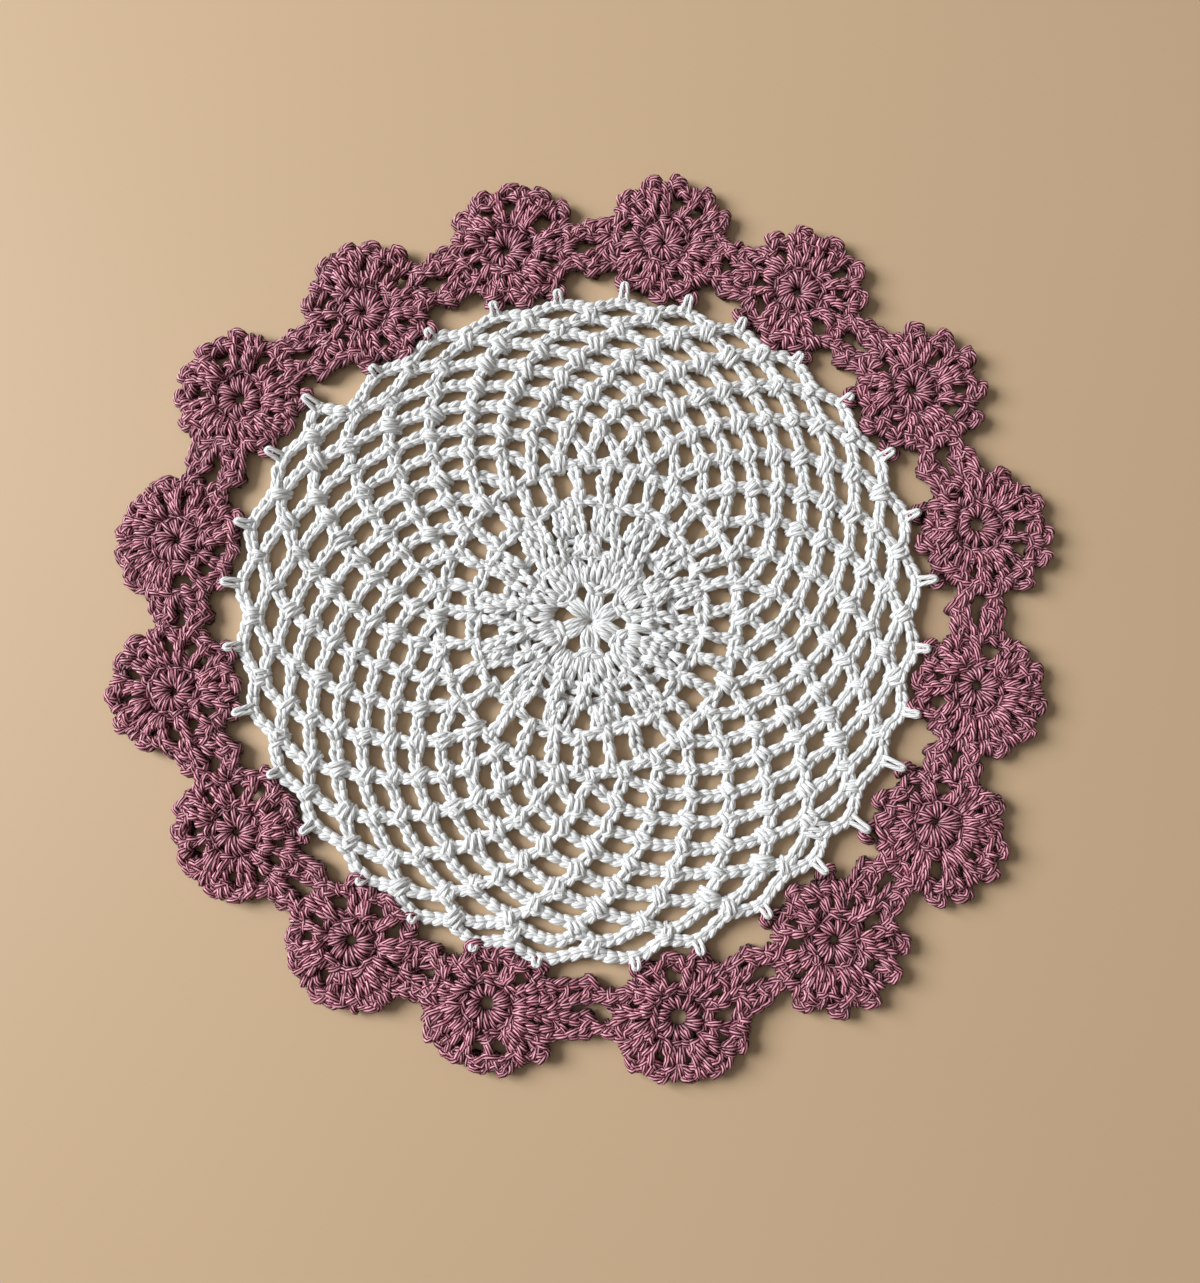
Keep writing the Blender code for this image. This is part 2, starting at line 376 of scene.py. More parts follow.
class Guide:
    """A line that stitches are laid along, with its own sideways direction."""

    def __init__(self, points, closed=False):
        self.points = points
        self.closed = closed
        self.along = lengths_along(points)
        self.length = self.along[-1]
        self.tangents = unit_rows(np.gradient(points, axis=0))

    def at(self, shares, offsets):
        """Points at lengths along the line, moved along it, clockwise from it and up."""
        if self.closed:
            lengths = np.mod(shares, self.length)
        else:
            lengths = np.clip(shares, 0, self.length)
        spot = read_between(lengths, self.along, self.points)
        ahead = unit_rows(read_between(lengths, self.along, self.tangents))
        if not self.closed:
            spot += ahead * (shares - lengths)[:, None]
        side = unit_rows(np.stack((ahead[:, 1], -ahead[:, 0], np.zeros(len(ahead))), 1))
        return spot + side * offsets[:, :1] + np.array((0, 0, 1.0)) * offsets[:, 1:]


def curve(points, steps=6):
    """A guide that passes smoothly through some points."""
    return Guide(smoothed(np.array(points), steps))


def handmade(yarn, line, stray, every):
    """A closed guide that strays a little from a plain line, as hand-worked rounds do."""
    knots = max(5, (len(line) - 1) // every)
    marks = np.linspace(0, len(line) - 1, knots + 1)
    strays = np.array([[yarn.wobble(stray) for _ in range(3)] for _ in marks])
    strays[-1] = strays[0]
    strays[:, 2] *= 0.5
    return Guide(line + read_between(np.arange(len(line)), marks, strays), True)


# One chain stitch: along in shares of the way to the next, across in shares of its width, up
# in shares of its rise. The two legs of a V open forwards and close under the next.
Turn = namedtuple("Turn", "along across up")
LEG = (
    Turn(along=0.00, across=-0.05, up=-0.6),
    Turn(along=0.37, across=-0.22, up=0.5),
    Turn(along=1.04, across=-0.51, up=1.0),
    Turn(along=1.44, across=-0.34, up=-0.8),
)
LINK = (*LEG, *(Turn(turn.along, -turn.across, turn.up) for turn in reversed(LEG)))
UNDERNEATH = (7, 15)              # half-way rows that nothing shows of, and are left out


def chain(yarn, guide, pitch, width, rise, uneven, plump=1.0):
    """Lays chain stitches along a guide, in one strand. Tight stitches bulge, and are plump."""
    links = max(2, round(guide.length / pitch))
    each = guide.length / links
    shares, offsets = [], []
    for link in range(links):
        side, lift = yarn.wobble(uneven), yarn.wobble(uneven)
        broad = width * (1 + yarn.wobble(uneven))
        twist = yarn.wobble(uneven * 2)
        for along, over, up in LINK:
            shares.append((link + along) * each + over * twist)
            offsets.append((over * broad + side, up * rise + lift + over * twist))
    line = smoothed(guide.at(np.array(shares), np.array(offsets)), 2, guide.closed)
    per_link = 2 * len(LINK)
    seen = [row for row in range(len(line)) if row % per_link not in UNDERNEATH]
    yarn.lay(line[seen], guide.closed, plump)


def column(yarn, foot, top, width, pitch, heights, uneven, rise=0.9, plump=1.0):
    """A tall stitch from the round below to its own head, as a stack of plump loops. Its
    heights are at the foot, half-way and at the head."""
    bow = across(toward(foot, top)) * yarn.wobble(0.4)
    spots = (foot, (foot + top) / 2 + bow, top)
    guide = curve([(*spot, height) for spot, height in zip(spots, heights)], 8)
    chain(yarn, guide, pitch, width, rise, uneven, plump)


def legs(yarn, foot, top, spread, low, count, rise):
    """The legs of a short stitch, side by side, from under the strands that it is worked
    round, over them and down to its head."""
    ahead = toward(foot, top)
    side = across(ahead)
    for leg in range(count):
        shift = (leg - (count - 1) / 2) * spread + yarn.wobble(0.25)
        splay = yarn.wobble(0.6)
        slip = yarn.wobble(0.35)
        lift = yarn.wobble(0.15) + (0.25 if abs(shift) < spread / 3 else 0.0)
        path = []
        for along, height, wide in ((0.0, low, 0.6), (0.12, low + 1.5, 0.75), (0.45, rise + lift, 0.95),
                                    (0.8, rise - 0.4 + lift, 1.15), (1.0, 1.6, 1.15)):
            spot = (foot + (top - foot) * along + ahead * slip * (1 - along)
                    + side * (shift * wide + splay * (along - 0.4)))
            path.append((*spot, height))
        yarn.strand(path)


def collar(yarn, spot, ahead, size=1.0):
    """A strand across a stitch, such as the one just under its head."""
    side, tilt = across(ahead), yarn.wobble(0.9)
    path = []
    for over, along, height in ((-2.3, -0.9, 1.3), (-1.6, 0.0, 3.0), (0.0, 0.6, 4.0), (1.6, 0.0, 3.0),
                                (2.3, -0.9, 1.3)):
        path.append((*(spot + (side * over + ahead * (along + tilt * over / 2.5)) * size), height))
    yarn.strand(path)


# ---- flower

def work_clusters(yarn):
    """The first round: fine strands out of the middle, drawn together six times."""
    for aim in CLUSTER_TURNS:
        for part in range(CLUSTER_STRANDS):
            place = part - (CLUSTER_STRANDS - 1) / 2
            foot = on_plan(0.9, aim + place * 15)
            mid = on_plan(5.2 + yarn.wobble(0.5), aim + place * 15 + yarn.wobble(5))
            top = on_plan(9.4 + yarn.wobble(0.8), aim + place * 8)
            yarn.strand([(*foot, 1.1), (*(foot * 0.6 + mid * 0.4), 2.7), (*mid, 3.3 + yarn.wobble(0.4)),
                         (*(mid * 0.45 + top * 0.55), 3.0 + yarn.wobble(0.3)), (*top, 1.7)])
    for index, aim in enumerate(CLUSTER_TURNS):
        head = [on_plan(radius, aim + turn) for radius, turn in
                ((12.0, -18), (10.2, -12), (9.2, 0), (10.2, 12), (12.0, 18))]
        chain(yarn, curve([(*spot, 2.5) for spot in head]), 2.7, 2.0, rise=0.8, uneven=0.3)
        link = [on_plan(radius, aim + onward(CLUSTER_TURNS, index) * share) for radius, share in
                ((11.6, 0.14), (12.7, 0.3), (13.0, 0.5), (12.7, 0.7), (11.6, 0.86))]
        chain(yarn, curve([(*spot, 1.7) for spot in link]), 2.9, 2.0, rise=0.6, uneven=0.12)


def work_fans(yarn):
    """The second round: six dense fans over the chains between the clusters."""
    for index, aim in enumerate(FAN_TURNS):
        back, ahead = onward(FAN_TURNS, index - 1) / 2, onward(FAN_TURNS, index) / 2
        for part in range(FAN_STRANDS):
            share = (part + 0.5) / FAN_STRANDS * 2 - 1
            turn = aim + share * ((ahead if share > 0 else back) - 1.2) + yarn.wobble(1.2)
            edge = round_radius(CORE_TOP, turn)
            lean = yarn.wobble(3.5) + (3.0 if part % 2 else -3.0)
            line = ((edge - 1.1, 0.9, 0), (edge - 0.9, 2.5, 0), (edge + 1.0, 3.6, 0.2),
                    (edge + 3.2, 3.3, 0.6), (edge + 5.6 + yarn.wobble(0.8), 1.8, 1.0))
            yarn.strand([(*on_plan(radius, turn + lean * drift), height + yarn.wobble(0.35))
                         for radius, height, drift in line])
    for part in range(FAN_TOPS):
        turn = 360 * (part + yarn.wobble(0.3)) / FAN_TOPS
        edge = round_radius(CORE_TOP, turn)
        column(yarn, on_plan(edge + 3.0 + yarn.wobble(0.5), turn + yarn.wobble(4)),
               on_plan(edge + 7.6, turn + yarn.wobble(4)), width=1.7, pitch=2.6,
               heights=(3.0, 3.2 + yarn.wobble(0.5), 2.2), uneven=0.4, rise=0.7)
    chain(yarn, handmade(yarn, round_line(FAN_TOP, 1.9, -0.8), 0.8, 5), 3.0, 2.2, rise=0.9, uneven=0.45)
    for part in range(FAN_HEADS):
        turn = 360 * (part + yarn.wobble(0.3)) / FAN_HEADS
        edge = round_radius(FAN_TOP, turn)
        column(yarn, on_plan(edge - 1.8, turn),
               on_plan(edge + 3.6 + yarn.wobble(0.6), turn + yarn.wobble(6)),
               width=1.8, pitch=2.7, heights=(2.4, 3.1 + yarn.wobble(0.4), 3.0), uneven=0.45)
    chain(yarn, handmade(yarn, round_line(FAN_TOP, 1.4, 4.6), 0.7, 5), 2.8, 2.1, rise=0.5, uneven=0.4)


def work_flower(yarn):
    """The white flower: clusters, fans, groups of three and a ladder of spokes, with heads."""
    work_clusters(yarn)
    work_fans(yarn)
    for group in range(GROUPS):
        aim = between(GROUP_CROWD, GROUPS, group) + yarn.wobble(0.5)
        side = across(way(aim))
        foot = on_plan(round_radius(FAN_TOP, aim) + 4.6, aim)
        top = on_plan(round_radius(GROUP_TOP, aim) - 0.6, aim)
        for hand in (-1, 0, 1):
            column(yarn, foot + side * (hand * 3.1) + yarn.spot(0.3),
                   top + side * (hand * 2.8) + yarn.spot(0.5), width=1.7, pitch=2.6 + yarn.wobble(0.3),
                   heights=(2.6, 2.9 + yarn.wobble(0.5), 2.2 + yarn.wobble(0.6)), uneven=0.4)
    guide = handmade(yarn, round_line(GROUP_TOP, 2.3), 0.9, 5)
    chain(yarn, guide, 3.1, 2.4, rise=1.0, uneven=0.5, plump=1.1)
    for spoke in range(SPOKES):
        aim = between(SPOKE_CROWD, SPOKES, spoke) + yarn.wobble(0.7)
        foot = on_plan(round_radius(GROUP_TOP, aim) - 0.8, aim + yarn.wobble(1.0))
        top = on_plan(round_radius(LADDER_TOP, aim) - 0.2, aim + yarn.wobble(1.3))
        column(yarn, foot, top, width=2.1, pitch=3.0 + yarn.wobble(0.4),
               heights=(2.9 + yarn.wobble(0.6), 2.6 + yarn.wobble(0.4), 2.2), uneven=0.4, plump=1.2)
        collar(yarn, top + yarn.spot(0.4), way(aim), 0.9)
    guide = handmade(yarn, round_line(LADDER_TOP, 2.2), 0.5, 6)
    chain(yarn, guide, 3.2, 2.1, rise=0.9, uneven=0.35, plump=1.1)


# ---- net

class Net:
    """Where the net's spiral of loops runs: knots half-way between gaps, and peaks."""

    def __init__(self):
        self.steps = np.arange(-0.5, NET_LOOPS + POINTS - 0.5, 1 / NET_MARKS)
        self.pointed = NET_LOOPS - POINTS
        loops, drawn = [self.pointed - POINT_LEAD], [0.0]
        for index in range(POINTS):
            tip = white_tip(index)
            loops.append(self.pointed + index)
            drawn.append((degrees(atan2(tip[0], tip[1])) - net_turn(loops[-1]) + 180) % 360 - 180)
        plain = np.array([net_turn(step) for step in self.steps])
        self.turns = plain + np.interp(self.steps, loops, drawn)

    def turn(self, loop):
        """The direction of a place along the net, unwound."""
        return float(np.interp(loop, self.steps, self.turns))

    def loop_at(self, turn):
        """The place along the net that has an unwound direction."""
        return float(np.interp(turn, self.turns, self.steps))

    def peak(self, loop):
        """Where along a loop its peak lies, drawn towards the knot of the next turn."""
        if loop >= self.pointed:
            return loop
        above = self.loop_at(self.turn(loop) + 360)
        knot = round(above - 0.5) + 0.5
        pulled = self.loop_at(self.turn(knot) - 360) - loop
        return loop + min(max(pulled * PEAK_PULL, -0.2), 0.2)

    def radius(self, place):
        """How far out the chain lies at a place along the net."""
        loop = round(place)
        start, end = loop - 0.5, loop + 0.5
        peak = self.peak(loop)
        if place < peak:
            share = 0.5 * (place - start) / (peak - start)
        else:
            share = 0.5 + 0.5 * (place - peak) / (end - peak)
        turn = self.turn(place)
        low = gap_radius(turn) + HEAD_OUT
        if turn < self.turn(-0.5) + 360:
            low = min(low, round_radius(LADDER_TOP, turn) + 2.8)
        high = gap_radius(turn + 360) - PEAK_IN
        return low + (high - low) * sin(pi * share) ** ARC_FLAT

    def foot(self, place):
        """Where a knot is worked round the loop below it."""
        turn = self.turn(place)
        if turn < self.turn(-0.5) + 360:
            return on_plan(round_radius(LADDER_TOP, turn) - 1.8, turn)
        straight = self.loop_at(turn - 360)
        aside = self.peak(round(straight)) - straight
        under = straight + min(max(aside, -0.15), 0.15)
        return on_plan(self.radius(under) - 1.9, self.turn(under))


def work_net(yarn, first, last):
    """Some loops of the net, each with the knot that it starts from."""
    net = Net()
    for loop in range(first, last):
        line = []
        for place in np.linspace(loop - 0.5, loop + 0.5, NET_MARKS + 1):
            spot = on_plan(net.radius(place), net.turn(place))
            line.append((*spot, 1.9 + 0.9 * (abs(place - loop) * 2) ** 3))
        if loop == NET_LOOPS - 1:
            line = drawn_in(net, line)
        tight = 1 - loop / NET_LOOPS
        bent = np.array(line) + np.outer(np.sin(np.linspace(0, pi, NET_MARKS + 1)), (*yarn.spot(0.35), 0.0))
        chain(yarn, Guide(bent), 3.25, 1.8 + 0.3 * tight, rise=0.9, uneven=0.22, plump=1.28 - 0.16 * tight)
        knot = loop - 0.5
        turn = net.turn(knot)
        foot, head = net.foot(knot) + yarn.spot(0.4), on_plan(net.radius(knot) + 1.1, turn)
        lean = across(way(turn)) * yarn.wobble(1.3)
        legs(yarn, foot - lean, head + lean, spread=1.65 + yarn.wobble(0.25), low=1.1,
             count=3 if yarn.chance.random() < THREE_LEGS else 2, rise=3.9 + yarn.wobble(0.3))
        if yarn.chance.random() < COLLARED:
            collar(yarn, foot * 0.35 + head * 0.65, way(turn))
    if last == NET_LOOPS:
        for index in range(POINTS):
            peak = net.peak(NET_LOOPS - POINTS + index)
            point_loop(yarn, on_plan(net.radius(peak), net.turn(peak)), white_tip(index))


def drawn_in(net, line):
    """The last loop of all, whose second half comes down to where its turn began."""
    place = net.pointed - 0.7
    end = np.array((*on_plan(net.radius(place) + 0.6, net.turn(place)), 3.0))
    half = len(line) // 2
    top = np.array(line[half])
    return line[:half] + [tuple(top + (end - top) * share) for share in np.linspace(0, 1, len(line) - half)]


def point_loop(yarn, base, tip):
    """A long doubled strand from a loop's peak to a point."""
    ahead, reach = toward(base, tip), max(hypot(*(tip - base)), 2.0)
    side = across(ahead)
    path = []
    for along, over, height in ((-0.2, -1.6, 1.2), (0.05, -1.1, 3.1), (0.5, -0.8, 4.2), (0.86, -0.7, 4.7),
                                (1.0, 0.0, 4.5), (0.86, 0.7, 4.7), (0.5, 0.8, 4.2),
                                (0.05, 1.1, 3.1), (-0.2, 1.6, 1.2)):
        spot = base + ahead * along * reach + side * (over + yarn.wobble(0.1))
        path.append((*spot, height))
    yarn.strand(path, steps=3, thin=0.88)


def white_tip(index):
    """Where a point of the net meets its motif, just inside the rim, two to a motif."""
    motif = MOTIFS[(POINTS_FROM + index // 2) % len(MOTIFS)]
    turn = 330 if index % 2 else 30
    return middle_of(motif) + facing(motif, turn) * 0.97 / rim_share(motif, turn)


# ---- motifs

def middle_of(motif):
    return on_plan(motif.reach, motif.turn)


def facing(motif, turn):
    """The direction of a motif's own turn, clockwise from the side that faces the flower."""
    return way(motif.turn + 180 + turn)


def rim_share(motif, turn):
    """How much of the way out to a motif's oval rim a millimetre is, at its own turn."""
    return hypot(cos(radians(turn)) / motif.deep, sin(radians(turn)) / motif.wide)


def in_motif(motif, radius, turn):
    """A point at a radius from a motif, which moves from its eye to its middle outwards,
    and from round to the rim's oval."""
    rim = (motif.deep + motif.wide) / 2
    share = min(radius / rim, 1.0)
    eye = way(motif.turn) * motif.eye_out + across(way(motif.turn)) * motif.eye_side
    centre = middle_of(motif) + eye * (1 - share) ** 1.5
    oval = 1 + (1 / rim_share(motif, turn) / rim - 1) * share
    return centre + facing(motif, turn) * radius * oval


def motif_ring(motif, radius, height, wave):
    """A closed line round a motif, with a wave for each lobe."""
    line = []
    for step in range(MOTIF_STEPS + 1):
        turn = 360 * step / MOTIF_STEPS
        bump = wave * cos(radians(turn * len(LOBES)))
        line.append((*in_motif(motif, radius + bump, turn), height))
    return np.array(line)


def lobe_turn_of(motif, lobe):
    """The free outer points are turned together; the first and last of them give half."""
    if lobe.kind != "fan":
        return lobe.turn
    return lobe.turn + motif.fan * (0.5 if lobe.turn in FAN_ENDS else 1.0)


def join_spot(index, side, kind):
    """The place where two motifs are joined, and the direction of the next motif."""
    here = middle_of(MOTIFS[index])
    there = middle_of(MOTIFS[(index + side) % len(MOTIFS)])
    ahead = toward(here, there)
    out = across(ahead) * -side
    return (here + there) / 2 + out * JOIN_OUTWARD[kind], ahead


def work_motif(yarn, index):
    """One mauve motif: a drawn-in eye, a round of tall stitches with strands across them,
    and a pointed round."""
    motif = MOTIFS[index]
    shift = yarn.wobble(10)
    for part in range(EYE_STRANDS):
        turn = shift + 360 * part / EYE_STRANDS + yarn.wobble(2)
        lean = yarn.wobble(8)
        far = 6.9 + yarn.wobble(0.8)
        line = ((motif.eye + 0.5, 0.9, 0), (motif.eye + 0.6, 2.6, 0), (motif.eye + 2.0, 3.7, 0.2),
                (5.3 + yarn.wobble(0.5), 3.5, 0.7), (far, 1.8, 1.0))
        yarn.strand([(*in_motif(motif, radius, turn + lean * drift), height + yarn.wobble(0.25))
                     for radius, height, drift in line])
    chain(yarn, handmade(yarn, motif_ring(motif, 8.0, 2.0, 0.5), 0.8, 5), 3.3, 2.4, rise=1.1, uneven=0.5)
    for lobe in LOBES:
        turn = (lobe_turn_of(motif, lobe) + lobe.turn) / 2 + yarn.wobble(4)
        aside = across(facing(motif, turn))
        foot, top = in_motif(motif, 7.6, turn), in_motif(motif, 15.8, turn)
        for hand in (-1, 1):
            if hand > 0 and yarn.chance.random() < SINGLE_POSTS:
                continue
            column(yarn, foot + aside * hand * (1.2 + yarn.wobble(0.4)) + yarn.spot(0.4),
                   top + aside * hand * (2.5 + yarn.wobble(0.8)) + yarn.spot(0.6),
                   width=1.7 + yarn.wobble(0.4), pitch=3.1 + yarn.wobble(0.4),
                   heights=(2.9, 3.0 + yarn.wobble(0.7), 2.2), uneven=0.55, rise=1.3)
    chain(yarn, handmade(yarn, motif_ring(motif, 16.2, 2.2, 0.8), 0.8, 6), 3.4, 2.4, rise=1.2, uneven=0.6)
    for part in range(CURLS):
        turn = 360 * (part + yarn.wobble(0.4)) / CURLS
        collar(yarn, in_motif(motif, 11.5 + (3.2 if part % 2 else -2.2) + yarn.wobble(1.2), turn),
               facing(motif, turn + yarn.wobble(50)), 0.85)
    for lobe in LOBES:
        turn = lobe_turn_of(motif, lobe) + yarn.wobble(3)
        middle = turn + 15 + yarn.wobble(3)
        legs(yarn, in_motif(motif, 14.4, middle), in_motif(motif, 18.2, middle + yarn.wobble(6)),
             spread=2.1, low=0.9, count=2, rise=3.8 + yarn.wobble(0.5))
        if lobe.kind in PICOT_REACH:
            picot(yarn, motif, turn, PICOT_REACH[lobe.kind])
        else:
            arm(yarn, index, lobe)


def picot(yarn, motif, turn, reach):
    """A small point of chain stitches on the rim."""
    rim = reach / rim_share(motif, turn) - 2.0
    ahead = facing(motif, turn)
    side = across(ahead)
    lean = yarn.wobble(1.3)
    path = []
    for share, over in ((0.0, -2.0), (0.6, -1.7), (1.0, -0.8), (1.0, 0.8), (0.6, 1.7), (0.0, 2.0)):
        spot = middle_of(motif) + ahead * (rim - 2.6 + 2.6 * share) + side * (over + lean * share)
        path.append((*(spot + yarn.spot(0.3)), 1.6 + 1.4 * share + yarn.wobble(0.3)))
    chain(yarn, curve(path), 2.9, 1.6, rise=0.8, uneven=0.3)


def arm(yarn, index, lobe):
    """The chain that reaches half-way to the next motif, where it is joined."""
    motif = MOTIFS[index]
    side = 1 if lobe.turn > 180 else -1
    spot, ahead = join_spot(index, side, lobe.kind)
    for hand in (-1, 1):
        foot = in_motif(motif, 15.0, lobe.turn + hand * 11)
        end = spot - ahead * side * 0.3 + across(ahead) * hand * side * -1.8 + yarn.spot(0.3)
        bend = foot * 0.45 + end * 0.55 + yarn.spot(0.5)
        guide = curve([(*foot, 2.1), (*bend, 2.8 + yarn.wobble(0.5)), (*end, 2.4)], 8)
        chain(yarn, guide, 3.3, 2.2, rise=0.9, uneven=0.4)
    for share in (0.45, 0.95):
        place = in_motif(motif, 15.0, lobe.turn) * (1 - share) + spot * share
        collar(yarn, place + yarn.spot(0.8), facing(motif, lobe.turn + yarn.wobble(60)))


# ---- materials

def made_once(store, name, make):
    """A material or a node group, made the first time that it is asked for."""
    return store.get(name) or make(name)


def set_inputs(node, values):
    """Gives some of a node's inputs their own values."""
    for label, value in values.items():
        node.inputs[label].default_value = value


def new_group(name, inputs, outputs):
    """A shader node group of numbers, the sockets that it reads and those that it fills."""
    group = bpy.data.node_groups.new(name, "ShaderNodeTree")
    for label, value in inputs.items():
        socket = group.interface.new_socket(label, in_out="INPUT", socket_type="NodeSocketFloat")
        socket.default_value = value
    for label in outputs:
        group.interface.new_socket(label, in_out="OUTPUT", socket_type="NodeSocketFloat")
    return group, group.nodes.new("NodeGroupInput").outputs, group.nodes.new("NodeGroupOutput").inputs


def use_group(tree, name, make, values):
    """A shared node group placed in a material, with values of its own."""
    node = tree.nodes.new("ShaderNodeGroup")
    node.node_tree = made_once(bpy.data.node_groups, name, make)
    set_inputs(node, values)
    return node.outputs


def calc(tree, operation, first, second=None):
    """A Math node, whose inputs are sockets or numbers."""
    node = tree.nodes.new("ShaderNodeMath")
    node.operation = operation
    for slot, value in enumerate((first, second)):
        if value is None:
            continue
        if isinstance(value, bpy.types.NodeSocket):
            tree.links.new(value, node.inputs[slot])
        else:
            node.inputs[slot].default_value = value
    return node.outputs[0]


def ply_group(name):
    """Plied yarn: twisted ridges along each strand, and fibres along the ridges."""
    tree, given, out = new_group(name, {"Plies": 3.0, "Twist": 3.6, "Fibre": 3.0},
                                 ("Ridge", "Fibres", "Height"))
    link = tree.links.new
    place = tree.nodes.new("ShaderNodeUVMap")
    place.uv_map = STRAND_UV
    parts = tree.nodes.new("ShaderNodeSeparateXYZ")
    link(place.outputs[0], parts.inputs[0])
    lay = calc(tree, "DIVIDE", parts.outputs[1], given["Twist"])
    turned = calc(tree, "ADD", calc(tree, "MULTIPLY", parts.outputs[0], given["Plies"]), lay)
    wave = calc(tree, "ABSOLUTE", calc(tree, "SINE", calc(tree, "MULTIPLY", turned, pi)))
    join = tree.nodes.new("ShaderNodeCombineXYZ")
    link(turned, join.inputs[0])
    link(calc(tree, "MULTIPLY", parts.outputs[1], 0.12), join.inputs[1])
    noise = tree.nodes.new("ShaderNodeTexNoise")
    noise.inputs["Detail"].default_value = 3.0
    link(join.outputs[0], noise.inputs["Vector"])
    link(given["Fibre"], noise.inputs["Scale"])
    height = calc(tree, "ADD", calc(tree, "POWER", wave, 0.6), calc(tree, "MULTIPLY", noise.outputs[0], 0.5))
    link(wave, out["Ridge"])
    link(noise.outputs[0], out["Fibres"])
    link(height, out["Height"])
    return tree


def painted_hollow_shade_group(name):
    """How far a place lies up from the hollows next to the table, 0 to 1: a mask for painted shade, which
    darkens colour low down where shade falls.
    """
    tree, given, out = new_group(name, {"Low": 0.4 * MM, "High": 3.0 * MM}, ("Unshaded",))
    link = tree.links.new
    place = tree.nodes.new("ShaderNodeTexCoord")
    parts = tree.nodes.new("ShaderNodeSeparateXYZ")
    link(place.outputs["Object"], parts.inputs[0])
    above = calc(tree, "SUBTRACT", parts.outputs[2], given["Low"])
    share = calc(tree, "DIVIDE", above, calc(tree, "SUBTRACT", given["High"], given["Low"]))
    held = calc(tree, "MINIMUM", calc(tree, "MAXIMUM", share, 0.0), 1.0)
    link(held, out["Unshaded"])
    return tree


def ramp(tree, factor, stops):
    """A colour ramp from positions and linear colours."""
    node = tree.nodes.new("ShaderNodeValToRGB")
    elements = node.color_ramp.elements
    while len(elements) < len(stops):
        elements.new(0.5)
    for element, (position, colour) in zip(elements, stops):
        element.position = position
        element.color = (*colour, 1.0)
    tree.links.new(factor, node.inputs[0])
    return node.outputs[0]


def new_material(name):
    """A material, its node tree and its main shader."""
    material = bpy.data.materials.new(name)
    material.use_nodes = True
    return material, material.node_tree, material.node_tree.nodes["Principled BSDF"]


def yarn_material(name, stops, twist, plies, roughness, bump, sheen, least_in_painted_shade, low, high, specular,
                  soft=0.0):
    """A material for one yarn. In the hollows its colour is darker, down to a share of it, as painted shade.
    Its ply ridges are painted lighter and its grooves darker, as painted highlight and shade.
    """
    material, tree, shader = new_material(name)
    link = tree.links.new
    ply = use_group(tree, "Plied yarn", ply_group, {"Plies": plies, "Twist": twist})
    # Painted highlight and shade on the plies: the ridges pick lighter stops of the ramp and the grooves
    # darker ones, mixed with random fibre tone.
    shade = calc(tree, "ADD", calc(tree, "MULTIPLY", ply["Ridge"], 0.6),
                 calc(tree, "MULTIPLY", ply["Fibres"], 0.5))
    # Painted shade: colour darkened next to the table, where the lower strands lie in shade.
    painted_shade = use_group(tree, "Hollows", painted_hollow_shade_group, {"Low": low * MM, "High": high * MM})
    unshaded_share = calc(tree, "ADD", least_in_painted_shade, calc(tree, "MULTIPLY", painted_shade["Unshaded"], 1 - least_in_painted_shade))
    painted_shade_scale = tree.nodes.new("ShaderNodeVectorMath")
    painted_shade_scale.operation = "SCALE"
    link(ramp(tree, shade, stops), painted_shade_scale.inputs[0])
    link(unshaded_share, painted_shade_scale.inputs["Scale"])
    link(painted_shade_scale.outputs[0], shader.inputs["Base Color"])
    rough = calc(tree, "SUBTRACT", roughness + 0.12, calc(tree, "MULTIPLY", ply["Ridge"], 0.15))
    link(rough, shader.inputs["Roughness"])
    relief = tree.nodes.new("ShaderNodeBump")
    set_inputs(relief, {"Strength": bump, "Distance": RELIEF_DEPTH})
    link(ply["Height"], relief.inputs["Height"])
    link(relief.outputs[0], shader.inputs["Normal"])
    set_inputs(shader, {
        "Specular IOR Level": specular, "Subsurface Weight": soft, "Subsurface Radius": (1.0, 1.0, 1.0),
        "Subsurface Scale": SOFT_DEPTH, "Sheen Weight": sheen, "Sheen Roughness": 0.5})
    return material


def white_yarn(name):
    colour = tuple(bpy.context.scene.doily_yarn.white)
    # Painted shade in the ply grooves and painted highlight on the ridges: darker and lighter copies of the
    # colour.
    groove_shade = tuple(part * 0.5 for part in colour)
    light = tuple(min(0.93, part * 1.12) for part in colour)
    return yarn_material(name, ((0.18, groove_shade), (0.44, colour), (0.8, light)), twist=2.5, plies=5.0,
                         roughness=0.75, bump=0.85, sheen=0.05, least_in_painted_shade=0.62, low=0.4, high=2.8, specular=0.3,
                         soft=0.3)


def mauve_yarn(name):
    colour = tuple(bpy.context.scene.doily_yarn.mauve)
    # Painted shade in the ply grooves, and painted highlights on the ridges that turn paler towards white.
    groove_shade = tuple(part * share for part, share in zip(colour, (0.12, 0.01, 0.02)))
    light = tuple(min(0.98, part * 1.4 + painted_highlight_tint) for part, painted_highlight_tint in zip(colour, (0.76, 0.49, 0.56)))
    painted_ridge_light = tuple(part * 1.8 for part in colour)
    return yarn_material(name, ((0.36, groove_shade), (0.55, colour), (0.69, painted_ridge_light), (0.87, light)), twist=2.5,
                         plies=6.0, roughness=0.34, bump=1.0, sheen=0.0, least_in_painted_shade=0.0, low=1.3, high=4.9,
                         specular=0.22)


# ---- settings

